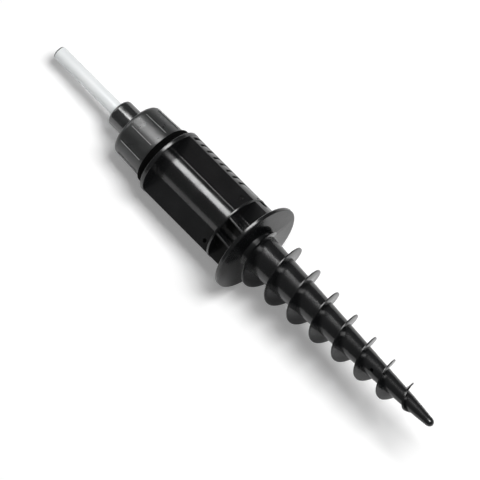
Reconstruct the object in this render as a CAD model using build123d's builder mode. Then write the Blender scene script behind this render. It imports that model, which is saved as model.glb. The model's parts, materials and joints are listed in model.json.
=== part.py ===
from build123d import *
import math
import os

# Plastic ground screw with a pole socket and a clamp nut, lying on a level surface.
#
# Every piece is modelled about the Z axis and laid down at the end. Stations are heights
# on that axis, from the underside of the big flange: positive towards the tip, negative
# towards the pole. The wings point along X and the open pockets between them along Y.

# ---------------------------------------------------------------------------
# Driving dimensions, in millimetres and degrees
# ---------------------------------------------------------------------------

# Big flange, which stops on the soil
flange_r = 55.0
flange_thick = 4.4

# Socket body: a round barrel between two broad wings
body_len = 141.4
body_r = 41.0
barrel_r = 20.8
shoulder_thick = 4.8
shelf_station = -31.4
shelf_thick = 2.6
rim_break = 0.6
root_round = 0.8

# Wings, their cored outer faces and the holes in them
wing_r = 40.5
wing_width = 27.2
wing_rise = 25.2
wing_border = 3.4
panel_depth = 0.6
panel_margin = 3.0
slot_count = 8
slot_pitch = 10.2
slot_width = 3.4
slot_depth = 9.0
first_slot_station = -133.2
window_station = -29.3
window_len = 15.4
window_width = 9.0
window_depth = 11.0
vent_r = 2.4
vent_station = -45.2
vent_reach = 30.5

# Buttress ribs between the shelf and the big flange
buttress_offset = 11.0
buttress_thick = 2.2
buttress_foot_r = 48.0

# Neck, which carries the thread of the clamp nut
neck_r = 28.0
neck_len = 38.6
neck_break = 1.0

# Pole socket and its tapered seat
socket_r = 16.3
seat_floor_depth = 28.0
seat_taper = 8.0

# Hollow ground cone
core_r = 22.3
core_taper = 3.38
core_len = 246.0
core_wall = 2.7
nose_len = 34.3
nose_r = 5.0
nose_land_r = 1.2
drain_r = 2.1
drain_station = 192.0
drain_turn = 102.5

# Helical flight, right-handed towards the tip
flight_pitch = 32.7
flight_rim_r = 36.8
flight_rim_taper = 4.49
flight_rim_thick = 1.3
flight_root_thick = 3.4
flight_depth = 16.0
flight_lead_in = 1.0
flight_start_turn = -44.6
flight_full_station = 15.0
flight_fade_station = 226.0
flight_end = 252.0

# Rubber seal ring around the foot of the neck
seal_r = 36.4
seal_height = 9.5
seal_break = 1.0

# Clamp nut
nut_mouth_r = 33.9
nut_crown_r = 32.5
nut_height = 43.2
nut_top_thick = 4.0
nut_shoulder_r = 3.6
nut_land_height = 6.6
nut_land_width = 3.4
ridge_count = 10
ridge_r = 1.3
ridge_sink = 0.25
ridge_len = 31.0
ridge_foot_gap = 5.5
ridge_turn = 8.3

# Slip ring between the nut and the collet
slip_thick = 3.0

# Slotted clamp collet
collet_len = 34.0
collet_foot_r = 19.2
collet_slot_count = 4
collet_slot_width = 2.4
collet_slot_share = 0.75

# Reducer sleeve, from the socket's bore down to the pole tube
sleeve_r = 16.0
sleeve_len = 160.0
sleeve_wall = 2.4
sleeve_top_thick = 5.0
sleeve_stop_thick = 3.0
sleeve_stop_r = 6.0
sleeve_rib_count = 4
sleeve_rib_thick = 2.0
sleeve_break = 1.8
sleeve_proud = 27.3

# Pole tube and its end plug
tube_r = 8.0
tube_spigot_r = 7.6
tube_bore_r = 6.8
tube_proud = 95.8
plug_head_r = 7.4
plug_head_height = 2.4
plug_head_break = 1.5
plug_stem_len = 12.0
plug_stem_bore_r = 4.6

# Clearances between pieces that touch or turn on each other
seat_gap = 0.15
running_gap = 0.3
press_gap = 0.05
thread_depth = 1.2

# Allowance by which a cut starts or ends outside the solid that it cuts
over = 1.0

# ---------------------------------------------------------------------------
# Stations that follow from the dimensions
# ---------------------------------------------------------------------------
shoulder_top = -body_len
neck_top = shoulder_top - neck_len
seal_top = shoulder_top - seal_height
nut_mouth = seal_top - seat_gap
nut_crown = nut_mouth - nut_height
nut_ceiling = nut_crown + nut_top_thick
slip_top = nut_ceiling + seat_gap
slip_foot = slip_top + slip_thick
collet_top = slip_foot + seat_gap
collet_foot = collet_top + collet_len
seat_floor = shoulder_top - neck_len + seat_floor_depth
sleeve_top = nut_crown - sleeve_proud
sleeve_foot = sleeve_top + sleeve_len
tube_top = sleeve_top - tube_proud
tube_foot = sleeve_foot - sleeve_stop_thick
plug_top = tube_top - plug_head_height
tip = core_len + nose_len

core_end_r = core_r - core_len * math.tan(math.radians(core_taper))
seat_slope = math.tan(math.radians(seat_taper))

# ---------------------------------------------------------------------------
# Helical flight, trimmed to its envelope
# ---------------------------------------------------------------------------
rim_slope = math.tan(math.radians(flight_rim_taper))
flight_turns = math.ceil((flight_end + flight_lead_in) / flight_pitch)

# One edge for each turn. The pitch runs along the slope of the rim's cone.
with BuildLine() as flight_path:
    for i in range(flight_turns):
        turn_rise = flight_pitch * i
        Helix(
            pitch=flight_pitch / math.cos(math.radians(flight_rim_taper)),
            height=flight_pitch,
            radius=flight_rim_r - turn_rise * rim_slope,
            center=(0, 0, turn_rise - flight_lead_in),
            cone_angle=-flight_rim_taper,
        )

with BuildPart() as flight:
    # A thin blade, thicker at its root, drawn along the helix.
    with BuildSketch(Plane.XZ.move(Location(flight_path.line @ 0))):
        with BuildLine():
            Polyline(
                (0, -flight_rim_thick / 2),
                (0, flight_rim_thick / 2),
                (-flight_depth, flight_root_thick / 2),
                (-flight_depth, -flight_root_thick / 2),
                close=True,
            )
        make_face()
    sweep(path=flight_path.line, is_frenet=True)
    # The envelope opens out from the flange over half a turn and closes in over the last one.
    with BuildSketch(Plane.XZ):
        with BuildLine():
            Polyline(
                (0, -flight_lead_in),
                (core_r, -flight_lead_in),
                (flight_rim_r + over, flight_full_station),
                (flight_rim_r - flight_fade_station * rim_slope + over, flight_fade_station),
                (core_end_r, flight_end),
                (0, flight_end),
                close=True,
            )
        make_face()
    revolve(axis=Axis.Z, mode=Mode.INTERSECT)

# ---------------------------------------------------------------------------
# Screw body: one moulding from the neck to the tip
# ---------------------------------------------------------------------------
wing_half = wing_width / 2
panel_width = wing_width - 2 * wing_border
slot_stations = [first_slot_station + slot_pitch * i for i in range(slot_count)]

with BuildPart() as screw_body:
    # Barrel with two flat-sided wings, rounded where they leave the barrel.
    with BuildSketch(Plane.XY.offset(shoulder_top + shoulder_thick / 2)):
        Circle(wing_r)
        Rectangle(2 * wing_r, wing_width, mode=Mode.INTERSECT)
        Circle(barrel_r)
        root_corners = vertices().filter_by(lambda v: math.hypot(v.X, v.Y) < wing_r - over)
        fillet(root_corners, radius=root_round)
    extrude(amount=-shoulder_top - (shoulder_thick + flange_thick) / 2)
    # The outer face of each wing is a shallow panel inside a raised border.
    with BuildSketch(Plane.XY.offset(-body_len + shoulder_thick + panel_margin)):
        Circle(wing_r + over)
        Circle(wing_r - panel_depth, mode=Mode.SUBTRACT)
        Rectangle(3 * wing_r, panel_width, mode=Mode.INTERSECT)
    extrude(amount=body_len - shoulder_thick - flange_thick - 2 * panel_margin, mode=Mode.SUBTRACT)
    # Coring slots leave a row of cross ribs in the panel.
    with BuildSketch(*[Plane.XY.offset(station) for station in slot_stations]):
        Circle(wing_r + over)
        Circle(wing_r - slot_depth, mode=Mode.SUBTRACT)
        Rectangle(3 * wing_r, panel_width, mode=Mode.INTERSECT)
    extrude(amount=slot_width, mode=Mode.SUBTRACT)
    with BuildSketch(Plane.YZ.offset(wing_r), Plane.YZ.offset(window_depth - wing_r)):
        with Locations((0, window_station)):
            SlotOverall(window_len, window_width, rotation=90)
    extrude(amount=-window_depth, mode=Mode.SUBTRACT)
    with BuildSketch(Plane.XZ):
        with Locations((-vent_reach, vent_station), (vent_reach, vent_station)):
            Circle(vent_r)
    extrude(amount=wing_width, both=True, mode=Mode.SUBTRACT)
    # Shoulder, shelf and big flange, each a disc with a broken rim.
    for top, thick, disc_r in (
        (-body_len, shoulder_thick, body_r),
        (shelf_station - shelf_thick, shelf_thick, body_r),
        (-flange_thick, flange_thick, flange_r),
    ):
        with BuildSketch(Plane.XZ):
            with BuildLine():
                Polyline(
                    (0, top),
                    (disc_r - rim_break, top),
                    (disc_r, top + rim_break),
                    (disc_r, top + thick - rim_break),
                    (disc_r - rim_break, top + thick),
                    (0, top + thick),
                    close=True,
                )
            make_face()
        revolve(axis=Axis.Z)
    # Buttress plates run right across, so each gives a rib in both pockets.
    shelf_reach = math.sqrt((body_r - rim_break) ** 2 - (buttress_offset + buttress_thick / 2) ** 2)
    foot_reach = math.sqrt(buttress_foot_r**2 - buttress_offset**2)
    with BuildSketch(*[Plane.YZ.offset(side * buttress_offset) for side in (-1, 1)]):
        with BuildLine():
            Polyline(
                (-shelf_reach, shelf_station - shelf_thick / 2),
                (shelf_reach, shelf_station - shelf_thick / 2),
                (shelf_reach, shelf_station),
                (foot_reach, -flange_thick),
                (foot_reach, -flange_thick / 2),
                (-foot_reach, -flange_thick / 2),
                (-foot_reach, -flange_thick),
                (-shelf_reach, shelf_station),
                close=True,
            )
        make_face()
    extrude(amount=buttress_thick / 2, both=True)
    # Neck for the clamp nut, with a lead-in at its mouth.
    with BuildSketch(Plane.XZ):
        with BuildLine():
            Polyline(
                (0, shoulder_top),
                (neck_r, shoulder_top),
                (neck_r, neck_top + neck_break),
                (neck_r - neck_break, neck_top),
                (0, neck_top),
                close=True,
            )
        make_face()
    revolve(axis=Axis.Z)
    # Ground cone, drawn in at the end to a rounded nose.
    with BuildSketch(Plane.XZ):
        with BuildLine():
            Polyline((0, -flange_thick), (core_r, -flange_thick), (core_r, 0), (core_end_r, core_len))
            nose_side = Line((core_end_r, core_len), (nose_r, tip - nose_r))
            TangentArc(nose_side @ 1, (nose_land_r, tip), tangent=nose_side % 1)
            Polyline((nose_land_r, tip), (0, tip), (0, -flange_thick))
        make_face()
    revolve(axis=Axis.Z)
    add(flight.part, rotation=(0, 0, flight_start_turn))
    # Socket: tapered seat, pole bore, then the hollow of the cone.
    bore_end = (core_r - core_wall - socket_r) / math.tan(math.radians(core_taper))
    hollow_end_r = core_end_r - core_wall
    seat_floor_r = collet_foot_r + seat_gap + (collet_foot - seat_floor) * seat_slope
    seat_mouth_r = collet_foot_r + seat_gap + (collet_foot - neck_top) * seat_slope
    with BuildSketch(Plane.XZ):
        with BuildLine():
            Polyline(
                (0, neck_top),
                (seat_mouth_r, neck_top),
                (seat_floor_r, seat_floor),
                (socket_r, seat_floor),
                (socket_r, bore_end),
                (hollow_end_r, core_len),
                (0, core_len + hollow_end_r),
                close=True,
            )
        make_face()
    revolve(axis=Axis.Z, mode=Mode.SUBTRACT)
    with BuildSketch(Plane.YZ.rotated((0, 0, drain_turn))):
        with Locations((0, drain_station)):
            Circle(drain_r)
    extrude(amount=core_r, mode=Mode.SUBTRACT)

screw_body.part.label = "screw_body"

# ---------------------------------------------------------------------------
# Seal ring
# ---------------------------------------------------------------------------
with BuildPart() as seal_ring:
    with BuildSketch(Plane.XY.offset(seal_top)):
        Circle(seal_r)
        Circle(neck_r + seat_gap, mode=Mode.SUBTRACT)
    extrude(amount=seal_height)
    rims = seal_ring.edges().filter_by(GeomType.CIRCLE).sort_by(SortBy.RADIUS)[-2:]
    chamfer(rims, length=seal_break)

seal_ring.part.label = "seal_ring"

# ---------------------------------------------------------------------------
# Clamp nut: a domed cap with grip ridges, captive slip-ring seat and pole hole
# ---------------------------------------------------------------------------
nut_bore_r = neck_r + thread_depth + running_gap
nut_land_r = nut_bore_r - nut_land_width
nut_flare = math.atan2(nut_mouth_r - nut_crown_r, nut_height)
# The rounded shoulder is three cones, which keeps its mesh light.
shoulder_angles = (30, 60, 90)

with BuildPart() as cap_nut:
    with BuildSketch(Plane.XZ):
        with BuildLine():
            Polyline(
                (sleeve_r + running_gap, nut_crown),
                (nut_crown_r - nut_shoulder_r, nut_crown),
                *[
                    (
                        nut_crown_r - nut_shoulder_r * (1 - math.sin(math.radians(angle))),
                        nut_crown + nut_shoulder_r * (1 - math.cos(math.radians(angle))),
                    )
                    for angle in shoulder_angles
                ],
                (nut_mouth_r, nut_mouth),
                (nut_bore_r, nut_mouth),
                (nut_bore_r, nut_ceiling + nut_land_height),
                (nut_land_r, nut_ceiling + nut_land_height),
                (nut_land_r, nut_ceiling),
                (sleeve_r + running_gap, nut_ceiling),
                close=True,
            )
        make_face()
    revolve(axis=Axis.Z)
    # Each ridge is an eight-sided bead laid along the flared wall.
    foot_station = nut_mouth - ridge_foot_gap
    foot_r = nut_mouth_r - ridge_foot_gap * math.tan(nut_flare) - ridge_sink
    ridge_way = (-math.sin(nut_flare), 0, -math.cos(nut_flare))
    ridge_foot = Plane(origin=(foot_r, 0, foot_station), x_dir=(0, 1, 0), z_dir=ridge_way)
    turns = [ridge_turn + 360 / ridge_count * i for i in range(ridge_count)]
    ridge_feet = [Location((0, 0, 0), (0, 0, turn)) * ridge_foot.location for turn in turns]
    with BuildSketch(*[Plane(foot) for foot in ridge_feet]):
        RegularPolygon(radius=ridge_r, side_count=8)
    extrude(amount=ridge_len)

cap_nut.part.label = "cap_nut"

# ---------------------------------------------------------------------------
# Slip ring
# ---------------------------------------------------------------------------
with BuildPart() as slip_ring:
    with BuildSketch(Plane.XY.offset(slip_top)):
        Circle(nut_land_r - running_gap)
        Circle(sleeve_r + running_gap, mode=Mode.SUBTRACT)
    extrude(amount=slip_thick)

slip_ring.part.label = "slip_ring"

# ---------------------------------------------------------------------------
# Clamp collet: a tapered sleeve, slotted from both ends in turn
# ---------------------------------------------------------------------------
collet_top_r = collet_foot_r + collet_len * seat_slope

with BuildPart() as clamp_collet:
    with BuildSketch(Plane.XZ):
        with BuildLine():
            Polyline(
                (sleeve_r + seat_gap, collet_top),
                (collet_top_r, collet_top),
                (collet_foot_r, collet_foot),
                (sleeve_r + seat_gap, collet_foot),
                close=True,
            )
        make_face()
    revolve(axis=Axis.Z)
    slot_len = collet_len * collet_slot_share
    for slot_end, turn in ((collet_top, 0), (collet_foot - slot_len, 180 / collet_slot_count)):
        with BuildSketch(Plane.XY.offset(slot_end)):
            with PolarLocations(sleeve_r + collet_top_r / 2, collet_slot_count, start_angle=turn):
                Rectangle(collet_top_r, collet_slot_width)
        extrude(amount=slot_len, mode=Mode.SUBTRACT)

clamp_collet.part.label = "clamp_collet"

# ---------------------------------------------------------------------------
# Reducer sleeve: an outer wall with inner ribs that hold the pole tube
# ---------------------------------------------------------------------------
tube_seat_r = tube_spigot_r + seat_gap

with BuildPart() as reducer_sleeve:
    with BuildSketch(Plane.XY.offset(sleeve_top)):
        Circle(sleeve_r)
        Circle(tube_seat_r, mode=Mode.SUBTRACT)
    extrude(amount=sleeve_top_thick)
    with BuildSketch(Plane.XY.offset(sleeve_top)):
        Circle(sleeve_r)
        Circle(sleeve_r - sleeve_wall, mode=Mode.SUBTRACT)
        rib_reach = sleeve_r - sleeve_wall / 2
        with PolarLocations((rib_reach + tube_seat_r) / 2, sleeve_rib_count):
            Rectangle(rib_reach - tube_seat_r, sleeve_rib_thick)
    extrude(amount=sleeve_len)
    # At the foot the ribs step in, so the tube stands on them.
    with BuildSketch(Plane.XY.offset(tube_foot)):
        with PolarLocations((rib_reach + sleeve_stop_r) / 2, sleeve_rib_count):
            Rectangle(rib_reach - sleeve_stop_r, sleeve_rib_thick)
    extrude(amount=sleeve_stop_thick)
    rims = reducer_sleeve.edges().filter_by(GeomType.CIRCLE).group_by(SortBy.RADIUS)[-1]
    chamfer(rims.sort_by(Axis.Z)[0], length=sleeve_break)

reducer_sleeve.part.label = "reducer_sleeve"

# ---------------------------------------------------------------------------
# Pole tube
# ---------------------------------------------------------------------------
with BuildPart() as pole_tube:
    with BuildSketch(Plane.XY.offset(tube_top)):
        Circle(tube_r)
    extrude(amount=tube_proud - seat_gap)
    # Its foot is drawn down to a spigot, so a shoulder seats on the reducer.
    with BuildSketch(Plane.XY.offset(sleeve_top - seat_gap)):
        Circle(tube_spigot_r)
    extrude(amount=tube_foot - sleeve_top + seat_gap)
    with BuildSketch(Plane.XY.offset(tube_top)):
        Circle(tube_bore_r)
    extrude(amount=tube_foot - tube_top, mode=Mode.SUBTRACT)

pole_tube.part.label = "pole_tube"

# ---------------------------------------------------------------------------
# Tube end plug
# ---------------------------------------------------------------------------
with BuildPart() as tube_end_plug:
    with BuildSketch(Plane.XY.offset(plug_top)):
        Circle(plug_head_r)
    extrude(amount=plug_head_height)
    chamfer(tube_end_plug.edges().sort_by(Axis.Z)[0], length=plug_head_break)
    with BuildSketch(Plane.XY.offset(tube_top)):
        Circle(tube_bore_r - press_gap)
        Circle(plug_stem_bore_r, mode=Mode.SUBTRACT)
    extrude(amount=plug_stem_len)

tube_end_plug.part.label = "tube_end_plug"

# ---------------------------------------------------------------------------
# How it lies: on the rims of the big flange and of the shoulder
# ---------------------------------------------------------------------------
tilt = math.atan2(flange_r - body_r, body_len - flange_thick)
axis_dir = Vector(math.cos(tilt), 0, math.sin(tilt))
axis_height = flange_r * math.cos(tilt) + flange_thick * math.sin(tilt)

# The origin is on the floor, under the middle of the whole length.
tip_reach = tip * math.cos(tilt) + nose_land_r * math.sin(tilt)
plug_rim_r = plug_head_r - plug_head_break
pole_reach = plug_top * math.cos(tilt) - plug_rim_r * math.sin(tilt)
flange_centre = Vector(-(tip_reach + pole_reach) / 2, 0, axis_height)

# One wing points to the side and up by wing_rise, and the other is opposite.
wing_dir = Vector(0, 1, 0).rotate(Axis((0, 0, 0), axis_dir), wing_rise)
lying = Plane(origin=flange_centre, x_dir=wing_dir, z_dir=axis_dir)

pieces = (
    screw_body,
    seal_ring,
    cap_nut,
    slip_ring,
    clamp_collet,
    reducer_sleeve,
    pole_tube,
    tube_end_plug,
)
for piece in pieces:
    piece.part.move(lying.location)

# ---------------------------------------------------------------------------
# Export
# ---------------------------------------------------------------------------
os.makedirs("parts", exist_ok=True)
export_step(screw_body.part, "parts/screw_body.step")
export_step(seal_ring.part, "parts/seal_ring.step")
export_step(cap_nut.part, "parts/cap_nut.step")
export_step(slip_ring.part, "parts/slip_ring.step")
export_step(clamp_collet.part, "parts/clamp_collet.step")
export_step(reducer_sleeve.part, "parts/reducer_sleeve.step")
export_step(pole_tube.part, "parts/pole_tube.step")
export_step(tube_end_plug.part, "parts/tube_end_plug.step")
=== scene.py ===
# %% [markdown]
# # A plastic ground screw, lying on a pale floor
#
# This lesson dresses a finished CAD model. The screw, its clamp nut, the seal ring, the reducer sleeve and
# the slim tube come from CAD at their real size. Here they get soft moulded edges, their finishes, the fine
# thread that CAD leaves out, a floor, light and a camera. The CAD pieces themselves are never moved.

# %% Load the CAD frame
import json
import math

import bpy
from mathutils import Matrix, Vector


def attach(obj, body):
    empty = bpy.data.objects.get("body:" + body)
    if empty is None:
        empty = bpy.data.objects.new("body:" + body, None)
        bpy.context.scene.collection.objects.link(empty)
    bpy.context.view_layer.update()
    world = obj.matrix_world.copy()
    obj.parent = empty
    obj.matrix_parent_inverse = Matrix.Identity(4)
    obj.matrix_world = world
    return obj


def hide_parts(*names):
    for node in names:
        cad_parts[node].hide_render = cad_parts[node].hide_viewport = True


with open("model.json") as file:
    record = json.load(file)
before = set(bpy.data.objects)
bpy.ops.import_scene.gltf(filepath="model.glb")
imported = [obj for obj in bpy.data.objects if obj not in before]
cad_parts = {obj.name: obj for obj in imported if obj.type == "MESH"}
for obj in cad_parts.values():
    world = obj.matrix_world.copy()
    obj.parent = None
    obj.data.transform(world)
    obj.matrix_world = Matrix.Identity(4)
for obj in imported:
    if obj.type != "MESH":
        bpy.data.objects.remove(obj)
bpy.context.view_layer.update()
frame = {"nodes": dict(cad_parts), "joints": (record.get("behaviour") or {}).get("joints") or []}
nodes = frame["nodes"]
MM = 0.001
MERGE_DISTANCE = 0.002 * MM
SMOOTH_UNDER = math.radians(30)
print("CAD nodes:", sorted(nodes))

# %% [markdown]
# ## The screw's own axis
#
# The object lies on the rims of its two flanges, so its axis is not level. Each piece that is made here is
# easiest to shape upright, about the Z axis, and is then laid down by one matrix. The matrix comes from the
# nut's joint, which turns about that same axis: its point and direction are the screw's, to the last digit.
#
# A station is a height on that axis, from the underside of the big flange. It is positive towards the tip
# and negative towards the pole, just as in the CAD source.

# %% The matrix that lays an upright piece down
NUT_CROWN = -194.25 * MM
WING_RISE = math.radians(25.2)

turning = next(joint for joint in frame["joints"] if joint["name"] == "nut_turn")
tip_way = -Vector(turning["axis"]).normalized()
flange_centre = Vector(turning["pos_m"]) - tip_way * NUT_CROWN
wing_way = Vector((0, 1, 0))
wing_way.rotate(Matrix.Rotation(WING_RISE, 3, tip_way))
pocket_way = tip_way.cross(wing_way)
lying = Matrix((wing_way, pocket_way, tip_way)).transposed().to_4x4()
lying.translation = flange_centre
print("axis climbs", round(math.degrees(math.asin(tip_way.z)), 2), "degrees")

# %% [markdown]
# ## Finishes
#
# No real surface has one flat colour and one even gloss. Each finish below is a Principled shader whose
# colour, roughness and bump come from noise patterns. An image could give them too, but it would need a UV
# map on every CAD node, and noise needs none. The patterns read Object coordinates, so they sit still on a
# piece when it moves.

# %% Helpers that wire a finish
def finish_of(name, roughness, ior=1.5, gloss=0.5):
    """A new material with its node tree, its shader and its object coordinates."""
    material = bpy.data.materials.new(name)
    material.use_nodes = True
    tree = material.node_tree
    shader = tree.nodes["Principled BSDF"]
    shader.inputs["Roughness"].default_value = roughness
    shader.inputs["IOR"].default_value = ior
    shader.inputs["Specular IOR Level"].default_value = gloss
    place = tree.nodes.new("ShaderNodeTexCoord").outputs["Object"]
    return material, tree, shader, place


def pattern(tree, place, scale, low, high, detail=3.0):
    """A noise pattern mapped to the range from low to high, as one output. Scale is in lumps a metre."""
    noise = tree.nodes.new("ShaderNodeTexNoise")
    noise.inputs["Scale"].default_value = scale
    noise.inputs["Detail"].default_value = detail
    tree.links.new(place, noise.inputs["Vector"])
    spread = tree.nodes.new("ShaderNodeMapRange")
    spread.inputs["From Min"].default_value = 0.3
    spread.inputs["From Max"].default_value = 0.7
    spread.inputs["To Min"].default_value = low
    spread.inputs["To Max"].default_value = high
    tree.links.new(noise.outputs["Fac"], spread.inputs["Value"])
    return spread.outputs["Result"]


def relief(tree, shader, height, distance):
    """Joins a height pattern to the shader's normal, distance in metres."""
    bump = tree.nodes.new("ShaderNodeBump")
    bump.inputs["Distance"].default_value = distance
    tree.links.new(height, bump.inputs["Height"])
    tree.links.new(bump.outputs["Normal"], shader.inputs["Normal"])


def tint(tree, shader, mask, dark, light):
    """Colours the shader between two colours by a pattern from 0 to 1."""
    blend = tree.nodes.new("ShaderNodeMix")
    blend.data_type = "RGBA"
    first_colour, second_colour, blended = blend.inputs[6], blend.inputs[7], blend.outputs[2]
    first_colour.default_value = (*dark, 1)
    second_colour.default_value = (*light, 1)
    tree.links.new(mask, blend.inputs["Factor"])
    tree.links.new(blended, shader.inputs["Base Color"])


# %% [markdown]
# ### The screw's plastic
#
# The screw is injected in one go. The wall of the mould is polished, so the plastic is glossy, but the gloss
# varies in broad patches where the melt cooled at different speeds, and shallow waves show where it flowed.
# Both are large, soft patterns, a centimetre or more across. The index of 1.58 is a little above that of
# window glass, which is 1.52.

# %% Glossy moulded plastic for the screw
moulded, tree, shader, place = finish_of("moulded_black", 0.22, ior=1.58)
tree.links.new(pattern(tree, place, scale=60, low=0.18, high=0.26), shader.inputs["Roughness"])
patches = pattern(tree, place, scale=25, low=0, high=1)
tint(tree, shader, patches, (0.0034, 0.0036, 0.0040), (0.0052, 0.0055, 0.0059))
relief(tree, shader, pattern(tree, place, scale=90, low=0, high=1), 0.04 * MM)
print("made", moulded.name)

# %% [markdown]
# ### The nut's plastic
#
# A nut is gripped by hand, so its mould is etched to leave a fine grain. The grain is finer than half a
# millimetre. It is too small to model, and a bump pattern scatters the light in the same way.

# %% Satin plastic for the nut
nut_satin, tree, shader, place = finish_of("nut_satin", 0.31, ior=1.62)
tree.links.new(pattern(tree, place, scale=140, low=0.27, high=0.35), shader.inputs["Roughness"])
patches = pattern(tree, place, scale=60, low=0, high=1)
tint(tree, shader, patches, (0.014, 0.015, 0.015), (0.020, 0.021, 0.021))
relief(tree, shader, pattern(tree, place, scale=2600, low=0, high=1, detail=2), 0.03 * MM)
print("made", nut_satin.name)

# %% [markdown]
# ### A painted highlight on the ridges
#
# The tops of the ridges are painted a lighter grey than the wall. This is a painted highlight: it stands in
# for the thin line of light each ridge catches, and its grey changes a little from one spot to the next. It
# is a second material on the same piece, because the border between the two follows the faces exactly.

# %% Painted highlight for the tops of the nut's ridges
nut_crown_painted_highlight, tree, shader, place = finish_of("nut_crown_painted_highlight", 0.36, ior=1.62)
tree.links.new(pattern(tree, place, scale=200, low=0.3, high=0.42), shader.inputs["Roughness"])
patches = pattern(tree, place, scale=400, low=0, high=1)
tint(tree, shader, patches, (0.20, 0.205, 0.205), (0.30, 0.305, 0.305))
relief(tree, shader, pattern(tree, place, scale=2600, low=0, high=1, detail=2), 0.02 * MM)
print("made", nut_crown_painted_highlight.name)

# %% [markdown]
# ### The seal's rubber
#
# Rubber filled with carbon black swallows nearly all light. Its base colour is pushed close to nothing,
# darker than lit rubber, as painted shade of the narrow gap between nut and flange. It is the darkest thing
# here, its roughness is high and its mirror-like share is turned almost off.

# %% Rubber for the seal ring, with painted shade
seal_black_painted_shade, tree, shader, place = finish_of("seal_black_painted_shade", 0.8, ior=1.4, gloss=0.05)
tree.links.new(pattern(tree, place, scale=200, low=0.7, high=0.9), shader.inputs["Roughness"])
patches = pattern(tree, place, scale=300, low=0, high=1)
tint(tree, shader, patches, (0.0006, 0.0006, 0.0006), (0.0011, 0.0011, 0.0011))
relief(tree, shader, pattern(tree, place, scale=1800, low=0, high=1, detail=2), 0.03 * MM)
print("made", seal_black_painted_shade.name)

# %% [markdown]
# ### The inner pieces
#
# Nobody polishes a mould for pieces that are hidden in use, so the collet and the slip ring are duller than
# the screw, with small marks all over.

# %% Plain black plastic for the inner pieces
inner_black, tree, shader, place = finish_of("inner_black", 0.4)
tree.links.new(pattern(tree, place, scale=120, low=0.34, high=0.48), shader.inputs["Roughness"])
patches = pattern(tree, place, scale=80, low=0, high=1)
tint(tree, shader, patches, (0.010, 0.010, 0.011), (0.014, 0.014, 0.015))
relief(tree, shader, pattern(tree, place, scale=700, low=0, high=1), 0.03 * MM)
print("made", inner_black.name)

# %% [markdown]
# ### The sleeve's polish
#
# The collar that stands out of the nut shines more than the screw does, almost like lacquer. An index of 2,
# more than real plastic has, makes every reflection on it stronger, as a lacquer would. A lower roughness
# keeps its streak of light crisp.

# %% Polished plastic for the reducer sleeve and the end plug
sleeve_gloss, tree, shader, place = finish_of("sleeve_gloss", 0.18, ior=2.0)
tree.links.new(pattern(tree, place, scale=80, low=0.14, high=0.22), shader.inputs["Roughness"])
patches = pattern(tree, place, scale=50, low=0, high=1)
tint(tree, shader, patches, (0.0060, 0.0062, 0.0066), (0.0082, 0.0085, 0.0090))
relief(tree, shader, pattern(tree, place, scale=120, low=0, high=1), 0.02 * MM)
print("made", sleeve_gloss.name)

# %% [markdown]
# ### The tube's coat
#
# Powder coat is sprayed dry and melted on. It flows out almost smooth, but keeps a fine orange-peel texture,
# which is a shallow bump. Its white leans a little to blue.

# %% White powder coat for the tube
tube_coat, tree, shader, place = finish_of("tube_coat", 0.36)
tree.links.new(pattern(tree, place, scale=90, low=0.32, high=0.42), shader.inputs["Roughness"])
patches = pattern(tree, place, scale=30, low=0, high=1)
tint(tree, shader, patches, (0.84, 0.87, 0.875), (0.88, 0.90, 0.905))
relief(tree, shader, pattern(tree, place, scale=1400, low=0, high=1, detail=1), 0.02 * MM)
print("made", tube_coat.name)

# %% Put the finishes on the CAD nodes
FINISHES = {
    "screw_body": moulded,
    "seal_ring": seal_black_painted_shade,
    "cap_nut": nut_satin,
    "slip_ring": inner_black,
    "clamp_collet": inner_black,
    "reducer_sleeve": sleeve_gloss,
    "pole_tube": tube_coat,
    "tube_end_plug": sleeve_gloss,
}
for name, material in FINISHES.items():
    nodes[name].data.materials.clear()
    nodes[name].data.materials.append(material)
print("finished", len(FINISHES), "nodes")

# %% [markdown]
# ## The screw body, with soft edges
#
# Nothing that comes out of a mould has a knife edge: steel is polished, plastic shrinks, and every outside
# corner ends a few tenths of a millimetre round. Those small rounds catch the light, and they are what lets
# the eye read a black part. CAD keeps its corners sharp, so here a copy of its mesh is merged, its flat
# faces are made whole again, and its outside corners are bevelled. The copy then stands in for the node.

# %% A copy of a CAD node, merged and cleaned
FLAT_UNDER = math.radians(0.6)


def hold(piece):
    """Makes a piece the only one that is selected, and the active one."""
    bpy.ops.object.select_all(action="DESELECT")
    piece.select_set(True)
    bpy.context.view_layer.objects.active = piece


def copy_of(node_name, piece_name):
    """A merged copy of a CAD node's mesh, with its flat faces made whole."""
    piece = nodes[node_name].copy()
    piece.data = piece.data.copy()
    piece.name = piece_name
    for key in list(piece.keys()):
        del piece[key]
    piece.parent = None
    bpy.context.scene.collection.objects.link(piece)
    hold(piece)
    bpy.ops.mesh.customdata_custom_splitnormals_clear()
    bpy.ops.object.mode_set(mode="EDIT")
    bpy.ops.mesh.select_all(action="SELECT")
    bpy.ops.mesh.remove_doubles(threshold=MERGE_DISTANCE)
    bpy.ops.mesh.dissolve_limited(angle_limit=FLAT_UNDER)
    bpy.ops.object.mode_set(mode="OBJECT")
    return piece


screw = copy_of("screw_body", "screw_moulding")
print(screw.name, len(screw.data.polygons), "faces")

# %% Round its outside corners
CORNER_ROUND = 0.5 * MM
CORNER_SEGMENTS = 3
SHARP = math.radians(35)
SHORTEST = 0.9 * MM
NECK_FOOT = -141.4 * MM
FLIGHT_END = 226 * MM


def station_of(point):
    """How far a point lies along the screw's axis from the underside of the big flange."""
    return (point - flange_centre).dot(tip_way)


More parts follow.
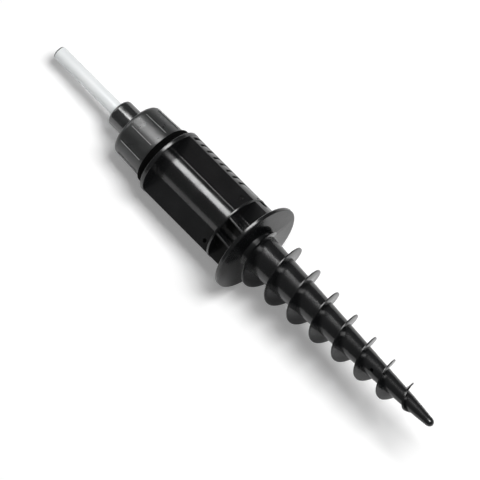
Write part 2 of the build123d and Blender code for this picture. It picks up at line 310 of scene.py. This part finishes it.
def outside_corners(mesh):
    """The edges that stick out sharply, are not too short, and lie between the neck and the flight's end."""
    faces_at = {}
    for face in mesh.polygons:
        for key in face.edge_keys:
            faces_at.setdefault(key, []).append(face)
    corners = []
    for edge in mesh.edges:
        start, end = (mesh.vertices[i].co for i in edge.vertices)
        first, second = faces_at[edge.key]
        middle = (start + end) / 2
        bend = first.normal.angle(second.normal)
        sticks_out = (second.center - first.center).dot(first.normal) < 0
        in_reach = NECK_FOOT < station_of(middle) < FLIGHT_END
        if bend > SHARP and sticks_out and in_reach and (end - start).length > SHORTEST:
            corners.append(edge.index)
    return corners


corners = outside_corners(screw.data)
bpy.ops.object.mode_set(mode="EDIT")
bpy.ops.mesh.select_mode(type="EDGE")
bpy.ops.mesh.select_all(action="DESELECT")
bpy.ops.object.mode_set(mode="OBJECT")
for index in corners:
    screw.data.edges[index].select = True
bpy.ops.object.mode_set(mode="EDIT")
bpy.ops.mesh.bevel(
    offset=CORNER_ROUND, segments=CORNER_SEGMENTS, affect="EDGES", clamp_overlap=True
)
bpy.ops.object.mode_set(mode="OBJECT")
bpy.ops.object.shade_smooth_by_angle(angle=SMOOTH_UNDER)
print("rounded", len(corners), "edges, now", len(screw.data.polygons), "faces")

# %% Hand the screw over
def stand_for(piece, node_name, material, body="root"):
    """Gives a piece its material, if one is named, its body and the node it stands for."""
    if material:
        piece.data.materials.clear()
        piece.data.materials.append(material)
    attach(piece, body)
    if node_name:
        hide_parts(node_name)
    print(piece.name, "rides on", body, "with", len(piece.data.polygons), "faces")


stand_for(screw, "screw_body", moulded)

# %% [markdown]
# ## Turned pieces
#
# The nut, the seal ring, the sleeve, the tube and its plug are all round about the axis, so each is one
# outline that is spun. On a bench this is a lathe; in Blender a single vertex is extruded from point to
# point along the outline, and the Spin tool carries it round. The walls are fine enough here to shade as
# true rounds, which the CAD mesh, kept light for its checks, can't do.

# %% Helpers for drawing and spinning an outline
def arc(radius_at, station_at, bend, start, end, steps=6):
    """Points of a rounded corner, as (radius, station), with angles in degrees from straight outwards."""
    angles = [math.radians(start + (end - start) * i / steps) for i in range(steps + 1)]
    return [(radius_at + bend * math.cos(a), station_at + bend * math.sin(a)) for a in angles]


def traced(name, outline, closed=True):
    """Draws an outline of (radius, station) points in millimetres, and stays in edit mode."""
    if closed:
        outline = outline + outline[:1]
    bpy.ops.object.select_all(action="DESELECT")
    bpy.ops.mesh.primitive_plane_add(size=MM)
    piece = bpy.context.object
    piece.name = name
    bpy.ops.object.mode_set(mode="EDIT")
    bpy.ops.mesh.select_mode(type="VERT")
    bpy.ops.mesh.select_all(action="SELECT")
    bpy.ops.mesh.merge(type="CENTER")
    here = (0, 0)
    for i, (radius, station) in enumerate(outline):
        step = ((radius - here[0]) * MM, 0, (station - here[1]) * MM)
        if i == 0:
            bpy.ops.transform.translate(value=step)
        else:
            bpy.ops.mesh.extrude_region_move(TRANSFORM_OT_translate={"value": step})
        here = (radius, station)
    bpy.ops.mesh.select_all(action="SELECT")
    return piece


def spun(name, outline, steps, closed=True):
    """Spins an outline of (radius, station) points in millimetres about the Z axis."""
    piece = traced(name, outline, closed)
    bpy.ops.mesh.spin(steps=steps, angle=math.tau, center=(0, 0, 0), axis=(0, 0, 1))
    bpy.ops.mesh.select_all(action="SELECT")
    bpy.ops.mesh.remove_doubles(threshold=MERGE_DISTANCE)
    bpy.ops.mesh.normals_make_consistent(inside=False)
    bpy.ops.object.mode_set(mode="OBJECT")
    return piece


def lay_down(piece, turn=0.0):
    """Turns an upright piece about its axis, lays it along the screw's axis and fixes its place."""
    hold(piece)
    piece.matrix_world = lying @ Matrix.Rotation(turn, 4, "Z")
    bpy.ops.object.transform_apply(location=True, rotation=True, scale=True)
    bpy.ops.object.shade_smooth_by_angle(angle=SMOOTH_UNDER)


def pick_faces(piece, wanted):
    """Opens a piece in edit mode with only those faces selected whose middle and normal are wanted."""
    bpy.ops.object.mode_set(mode="EDIT")
    bpy.ops.mesh.select_mode(type="FACE")
    bpy.ops.mesh.select_all(action="DESELECT")
    bpy.ops.object.mode_set(mode="OBJECT")
    count = 0
    for face in piece.data.polygons:
        face.select = wanted(face.center / MM, face.normal)
        count += face.select
    bpy.ops.object.mode_set(mode="EDIT")
    return count


# %% [markdown]
# ## Clamp nut
#
# The nut is a cap with a round shoulder, a slightly flared wall and ten narrow ridges for the fingers. The
# wall is spun in steps of a degree and a half, so a ridge is just one of its strips: it is extruded outwards
# from the axis and the edges of its top are bevelled. The top and its bevel get the light grey of the painted
# highlight, which stands in for the thin line of light the bevel catches.

# %% Nut: outline
NUT_MOUTH = -151.05
NUT_TOP = NUT_CROWN / MM
NUT_CEILING = -190.25
NUT_LAND = -183.65
NUT_MOUTH_R = 33.9
NUT_TOP_R = 32.5
NUT_SHOULDER = 5.2
NUT_LIP = 0.5
NUT_BORE_R = 29.5
NUT_LAND_R = 26.1
NUT_HOLE_R = 16.3
NUT_HOLE_BREAK = 0.6
NUT_STEPS = 240
HALF_STEP = 180 / NUT_STEPS
RIDGE_COUNT = 10
RIDGE_HEIGHT = 1.0
RIDGE_FOOT = -155.2
RIDGE_HEAD = -186.4
RIDGE_TURN = math.radians(8.3)

wall_top = NUT_TOP + NUT_SHOULDER


def nut_wall(station):
    """The radius of the nut's flared outer wall at a station, in millimetres."""
    return NUT_TOP_R + (NUT_MOUTH_R - NUT_TOP_R) * (station - wall_top) / (NUT_MOUTH - wall_top)


nut_outline = [
    (NUT_HOLE_R, NUT_CEILING), (NUT_HOLE_R, NUT_TOP + NUT_HOLE_BREAK), (NUT_HOLE_R + NUT_HOLE_BREAK, NUT_TOP),
    *arc(NUT_TOP_R - NUT_SHOULDER, wall_top, NUT_SHOULDER, -90, 0, steps=12),
    (nut_wall(RIDGE_HEAD), RIDGE_HEAD), (nut_wall(RIDGE_FOOT), RIDGE_FOOT),
    *arc(NUT_MOUTH_R - NUT_LIP, NUT_MOUTH - NUT_LIP, NUT_LIP, 0, 90, steps=3),
    (NUT_BORE_R + NUT_LIP, NUT_MOUTH), (NUT_BORE_R, NUT_MOUTH - NUT_LIP),
    (NUT_BORE_R, NUT_LAND), (NUT_LAND_R, NUT_LAND), (NUT_LAND_R, NUT_CEILING),
]
nut = spun("clamp_nut", nut_outline, NUT_STEPS)
print(nut.name, len(nut.data.polygons), "faces before its ridges")

# %% Nut: ridges
LEAST_WALL_R = 31
LEVEL = 0.2
RIDGE_BEVEL = 0.3 * MM


def on_a_ridge(middle, normal):
    """Whether a face of the nut's wall is the strip of a ridge."""
    around = math.degrees(math.atan2(middle.y, middle.x)) - HALF_STEP
    off = (around + 180 / RIDGE_COUNT) % (360 / RIDGE_COUNT) - 180 / RIDGE_COUNT
    on_wall = math.hypot(middle.x, middle.y) > LEAST_WALL_R and abs(normal.z) < LEVEL
    return on_wall and abs(off) < HALF_STEP and RIDGE_HEAD < middle.z < RIDGE_FOOT


picked = pick_faces(nut, on_a_ridge)
grow = 1 + RIDGE_HEIGHT / nut_wall((RIDGE_HEAD + RIDGE_FOOT) / 2)
bpy.ops.mesh.extrude_region()
bpy.ops.transform.resize(value=(grow, grow, 1), center_override=(0, 0, 0))
# The ridge tops and their bevels get the second material, a light grey painted highlight.
nut.data.materials.append(nut_satin)
nut.data.materials.append(nut_crown_painted_highlight)
nut.active_material_index = 1
bpy.ops.object.material_slot_assign()
bpy.ops.mesh.region_to_loop()
bpy.ops.mesh.bevel(offset=RIDGE_BEVEL, segments=3, affect="EDGES", material=1)
bpy.ops.object.mode_set(mode="OBJECT")
lay_down(nut, RIDGE_TURN - math.radians(HALF_STEP))
print("raised", picked, "strips into", RIDGE_COUNT, "ridges")
stand_for(nut, "cap_nut", None, body="nut")

# %% [markdown]
# ## Seal ring
#
# A rubber ring is turned or moulded with round corners, and this one has a fine groove round its middle,
# where the two halves of its mould met.

# %% Seal ring
SEAL_TOP = -150.9
SEAL_FOOT = -141.4
SEAL_R = 36.4
SEAL_BORE_R = 28.15
SEAL_ROUND = 1.4
SEAL_STEPS = 144
GROOVE_DEPTH = 0.35
GROOVE_HEAD = -146.6
GROOVE_FOOT = -145.7
GROOVE_SLOPE = 0.3

seal_outline = [
    (SEAL_BORE_R, SEAL_FOOT), (SEAL_BORE_R, SEAL_TOP),
    *arc(SEAL_R - SEAL_ROUND, SEAL_TOP + SEAL_ROUND, SEAL_ROUND, -90, 0),
    (SEAL_R, GROOVE_HEAD), (SEAL_R - GROOVE_DEPTH, GROOVE_HEAD + GROOVE_SLOPE),
    (SEAL_R - GROOVE_DEPTH, GROOVE_FOOT - GROOVE_SLOPE), (SEAL_R, GROOVE_FOOT),
    *arc(SEAL_R - SEAL_ROUND, SEAL_FOOT - SEAL_ROUND, SEAL_ROUND, 0, 90),
]
seal = spun("rubber_seal", seal_outline, SEAL_STEPS)
lay_down(seal)
stand_for(seal, "seal_ring", seal_black_painted_shade)

# %% [markdown]
# ## Reducer sleeve
#
# The sleeve is a long thin-walled tube, closed at the top by a thick ring that the slim pole passes through.
# Four ribs inside carry the pole further down. They start as strips of the bore, extruded towards the axis.

# %% Reducer sleeve
SLEEVE_TOP = -221.55
SLEEVE_FOOT = -61.55
SLEEVE_R = 16.0
SLEEVE_BORE_R = 13.6
POLE_SEAT_R = 7.75
SLEEVE_CROWN = 3.2
SLEEVE_LID = 5.0
SLEEVE_BREAK = 0.4
SLEEVE_STEPS = 120
RIB_COUNT = 4
STRIPS_IN_RIB = 4

sleeve_outline = [
    (SLEEVE_BORE_R, SLEEVE_TOP + SLEEVE_LID), (POLE_SEAT_R, SLEEVE_TOP + SLEEVE_LID),
    (POLE_SEAT_R, SLEEVE_TOP + SLEEVE_BREAK), (POLE_SEAT_R + SLEEVE_BREAK, SLEEVE_TOP),
    *arc(SLEEVE_R - SLEEVE_CROWN, SLEEVE_TOP + SLEEVE_CROWN, SLEEVE_CROWN, -90, 0, steps=8),
    (SLEEVE_R, SLEEVE_FOOT - SLEEVE_BREAK), (SLEEVE_R - SLEEVE_BREAK, SLEEVE_FOOT),
    (SLEEVE_BORE_R, SLEEVE_FOOT),
]
sleeve = spun("reducer_sleeve_round", sleeve_outline, SLEEVE_STEPS)
half_rib = STRIPS_IN_RIB / 2 * 360 / SLEEVE_STEPS


def on_a_rib(middle, normal):
    """Whether a face of the sleeve's bore lies where a rib grows inwards."""
    around = math.degrees(math.atan2(middle.y, middle.x))
    off = (around + 180 / RIB_COUNT) % (360 / RIB_COUNT) - 180 / RIB_COUNT
    in_bore = math.hypot(middle.x, middle.y) < (SLEEVE_BORE_R + SLEEVE_R) / 2 and abs(normal.z) < LEVEL
    return in_bore and abs(off) < half_rib and middle.z > SLEEVE_TOP + SLEEVE_LID


picked = pick_faces(sleeve, on_a_rib)
shrink = POLE_SEAT_R / SLEEVE_BORE_R
bpy.ops.mesh.extrude_region()
bpy.ops.transform.resize(value=(shrink, shrink, 1), center_override=(0, 0, 0))
bpy.ops.object.mode_set(mode="OBJECT")
lay_down(sleeve)
print("grew", RIB_COUNT, "ribs from", picked, "strips")
stand_for(sleeve, "reducer_sleeve", sleeve_gloss)

# %% [markdown]
# ## Tube and end plug
#
# The tube is drawn aluminium with a powder coat, so its cut end is softened by the coat. Its foot steps down
# to a spigot inside the sleeve. The plug is a black cap with a low dome and a hollow stem.

# %% Pole tube
TUBE_TOP = -317.35
TUBE_SHOULDER = SLEEVE_TOP - 0.15
TUBE_FOOT = -64.55
TUBE_R = 8.0
TUBE_BORE_R = 6.8
SPIGOT_R = 7.6
COAT_ROUND = 0.5
TUBE_BREAK = 0.3
TUBE_STEPS = 96

tube_outline = [
    (TUBE_BORE_R, TUBE_FOOT), (TUBE_BORE_R, TUBE_TOP + TUBE_BREAK), (TUBE_BORE_R + TUBE_BREAK, TUBE_TOP),
    *arc(TUBE_R - COAT_ROUND, TUBE_TOP + COAT_ROUND, COAT_ROUND, -90, 0, steps=4),
    (TUBE_R, TUBE_SHOULDER - TUBE_BREAK), (TUBE_R - TUBE_BREAK, TUBE_SHOULDER),
    (SPIGOT_R, TUBE_SHOULDER), (SPIGOT_R, TUBE_FOOT),
]
tube = spun("slim_tube", tube_outline, TUBE_STEPS)
lay_down(tube)
stand_for(tube, "pole_tube", tube_coat)

# %% End plug
PLUG_TOP = -319.75
DOME_RISE = 1.6
DOME_STEPS = 8
PLUG_HEAD_R = 7.4
PLUG_STEM_FOOT = -305.35
PLUG_STEM_R = 6.75
PLUG_STEM_BORE_R = 4.6
PLUG_BREAK = 0.4

dome = []
for i in range(DOME_STEPS + 1):
    angle = math.radians(90 * i / DOME_STEPS)
    rise = DOME_RISE * math.cos(angle)
    dome.append((PLUG_HEAD_R * math.sin(angle), PLUG_TOP + DOME_RISE - rise))
plug_outline = [
    *dome, (PLUG_HEAD_R, TUBE_TOP), (PLUG_STEM_R, TUBE_TOP), (PLUG_STEM_R, PLUG_STEM_FOOT - PLUG_BREAK),
    (PLUG_STEM_R - PLUG_BREAK, PLUG_STEM_FOOT), (PLUG_STEM_BORE_R, PLUG_STEM_FOOT),
    (PLUG_STEM_BORE_R, TUBE_TOP), (0, TUBE_TOP),
]
plug = spun("domed_plug", plug_outline, TUBE_STEPS, closed=False)
lay_down(plug)
stand_for(plug, "tube_end_plug", sleeve_gloss)

# %% [markdown]
# ## The thread on the neck
#
# The clamp nut runs on a thread that CAD leaves as a plain wall with room for it. It shows when the nut is
# unscrewed. A thread is one small profile carried along a helix. The Spin tool can climb while it turns, but
# the Screw modifier says the pitch and the number of turns outright, so it is used here and then applied. The
# two open ends are filled last.

# %% Thread profile
NECK_R = 28.0
THREAD_CREST_R = 29.15
THREAD_PITCH = 4.0
THREAD_TURNS = 6
THREAD_START = -178.0
THREAD_ROOT = 1.5
THREAD_CREST = 0.4
THREAD_SINK = 0.2
THREAD_STEPS = 72

thread_profile = [
    (NECK_R - THREAD_SINK, THREAD_START - THREAD_ROOT), (THREAD_CREST_R, THREAD_START - THREAD_CREST),
    (THREAD_CREST_R, THREAD_START + THREAD_CREST), (NECK_R - THREAD_SINK, THREAD_START + THREAD_ROOT),
]
thread = traced("neck_thread", thread_profile)
bpy.ops.mesh.remove_doubles(threshold=MERGE_DISTANCE)
bpy.ops.object.mode_set(mode="OBJECT")
print(thread.name, "profile is", round(THREAD_CREST_R - NECK_R, 2), "mm proud of the neck")

# %% Thread swept along its helix
helix = thread.modifiers.new("helix", "SCREW")
helix.axis = "Z"
helix.angle = math.tau
helix.screw_offset = THREAD_PITCH * MM
helix.iterations = THREAD_TURNS
helix.steps = THREAD_STEPS
helix.render_steps = THREAD_STEPS
bpy.ops.object.modifier_apply(modifier="helix")
bpy.ops.object.mode_set(mode="EDIT")
bpy.ops.mesh.select_mode(type="EDGE")
bpy.ops.mesh.select_all(action="DESELECT")
bpy.ops.mesh.select_non_manifold()
bpy.ops.mesh.edge_face_add()
bpy.ops.mesh.select_all(action="SELECT")
bpy.ops.mesh.normals_make_consistent(inside=False)
bpy.ops.object.mode_set(mode="OBJECT")
lay_down(thread)
stand_for(thread, None, moulded)

# %% [markdown]
# ## Floor and surroundings
#
# The screw lies on a plain white floor. Lit hard enough to look pure white, a floor would throw so much light
# back that the black plastic turned grey. So the floor is lit less, and answers camera rays with a little
# light of its own, and gloss rays with less of it. Shadows still fall on it. The world does the same: it is
# white for the camera and dim for everything else.

# %% Floor
FLOOR_SIZE = 12
FLOOR_TONE = 0.88
FLOOR_LIFT = 0.2
MIRRORED_LIFT = 0.05

bpy.ops.object.select_all(action="DESELECT")
bpy.ops.mesh.primitive_plane_add(size=FLOOR_SIZE)
floor = bpy.context.object
floor.name = "floor"

pale = bpy.data.materials.new("pale_floor")
pale.use_nodes = True
tree = pale.node_tree
shader = tree.nodes["Principled BSDF"]
shader.inputs["Base Color"].default_value = (FLOOR_TONE, FLOOR_TONE, FLOOR_TONE, 1)
shader.inputs["Roughness"].default_value = 0.9
shader.inputs["Specular IOR Level"].default_value = 0.0
rays = tree.nodes.new("ShaderNodeLightPath")
mirrored = tree.nodes.new("ShaderNodeMath")
mirrored.operation = "MULTIPLY"
mirrored.inputs[1].default_value = MIRRORED_LIFT
tree.links.new(rays.outputs["Is Glossy Ray"], mirrored.inputs[0])
lift = tree.nodes.new("ShaderNodeMath")
lift.operation = "MULTIPLY_ADD"
lift.inputs[1].default_value = FLOOR_LIFT
tree.links.new(rays.outputs["Is Camera Ray"], lift.inputs[0])
tree.links.new(mirrored.outputs[0], lift.inputs[2])
shader.inputs["Emission Color"].default_value = (1, 1, 1, 1)
tree.links.new(lift.outputs[0], shader.inputs["Emission Strength"])
floor.data.materials.append(pale)
print("floor lift", FLOOR_LIFT, "and in mirrors", MIRRORED_LIFT)

# %% World
ROOM_LEVEL = 0.15
BACKGROUND_LEVEL = 1.0

world = bpy.data.worlds.new("studio")
bpy.context.scene.world = world
world.use_nodes = True
tree = world.node_tree
air = tree.nodes["Background"]
air.inputs["Color"].default_value = (1, 1, 1, 1)
rays = tree.nodes.new("ShaderNodeLightPath")
level = tree.nodes.new("ShaderNodeMapRange")
level.inputs["To Min"].default_value = ROOM_LEVEL
level.inputs["To Max"].default_value = BACKGROUND_LEVEL
tree.links.new(rays.outputs["Is Camera Ray"], level.inputs["Value"])
tree.links.new(level.outputs["Result"], air.inputs["Strength"])
print("room level", ROOM_LEVEL)

# %% [markdown]
# ## Light
#
# Black gloss shows only what it mirrors, so the lamps are placed for their reflections. The main softbox
# hangs near the camera's direction and gives the soft shadow. A strip on the pole's side draws the clean
# streak along every round wall, and a lower card behind it lights the rims and ribs that face the pole. Strip
# and card light only what is glossy, so they throw no second shadow. Last, a weak fill from the other side
# has no reflection at all: it lights only what is matt.

# %% The camera's own ways
view_way = Vector((0.2508, -0.2252, 0.9417)).normalized()
right_way = Vector((0.667, 0.745, 0)).normalized()
up_way = view_way.cross(right_way)
side_way = tip_way.cross((view_way - tip_way * view_way.dot(tip_way)).normalized())
print("screw leans", round(math.degrees(math.asin(view_way.dot(tip_way))), 1), "degrees to the camera")

# %% Softboxes
def softbox(name, direction, distance, length, width, radiance, along):
    """A rectangular area light that faces the flange, with its length along one way."""
    direction = direction.normalized()
    bpy.ops.object.light_add(type="AREA", location=flange_centre + direction * distance)
    lamp = bpy.context.object
    lamp.name = name
    lamp.data.shape = "RECTANGLE"
    lamp.data.size = length
    lamp.data.size_y = width
    lamp.data.energy = radiance * math.pi * length * width
    side = (along - direction * along.dot(direction)).normalized()
    lamp.rotation_euler = Matrix((side, direction.cross(side), direction)).transposed().to_euler()
    return lamp


MAIN_LEAN = math.radians(26)
FILL_CLIMB = 0.18

towards_strip = Vector((-0.7705, 0.376, 1.311))
strip = softbox(
    "strip_softbox", towards_strip, distance=1.57, length=0.78, width=0.40, radiance=13.0, along=side_way
)
strip.visible_diffuse = False

towards_card = Vector((-0.845, -0.147, 0.515))
rim_card = softbox(
    "rim_card", towards_card, distance=1.8, length=1.1, width=0.46, radiance=4.4, along=side_way
)
rim_card.visible_diffuse = False

towards_main = view_way * math.cos(MAIN_LEAN) - side_way * math.sin(MAIN_LEAN)
softbox("main_softbox", towards_main, distance=4.0, length=1.7, width=1.7, radiance=16.5, along=tip_way)

towards_fill = view_way * FILL_CLIMB + side_way
fill = softbox("low_fill", towards_fill, distance=1.6, length=0.7, width=0.4, radiance=6.0, along=tip_way)
fill.visible_glossy = False
print("softboxes", strip.name, rim_card.name, fill.name, "and main_softbox")

# %% [markdown]
# ## Camera
#
# The camera stands far back with a long lens, as for a catalogue, so the near and far ends are drawn at
# almost the same scale. The lens is worked out from the width that the frame must cover at that distance.

# %% Camera
CAMERA_DISTANCE = 12
FRAME_WIDTH = 0.5107
SENSOR_WIDTH = 36

aim = flange_centre - right_way * 0.0113 + up_way * 0.0094
bpy.ops.object.camera_add(location=aim + view_way * CAMERA_DISTANCE)
camera = bpy.context.object
camera.rotation_euler = Matrix((right_way, up_way, view_way)).transposed().to_euler()
camera.data.sensor_width = SENSOR_WIDTH
camera.data.lens = SENSOR_WIDTH * CAMERA_DISTANCE / FRAME_WIDTH
bpy.context.scene.camera = camera
bpy.context.scene.view_settings.view_transform = "Standard"
print("camera at", [round(x, 3) for x in camera.location])
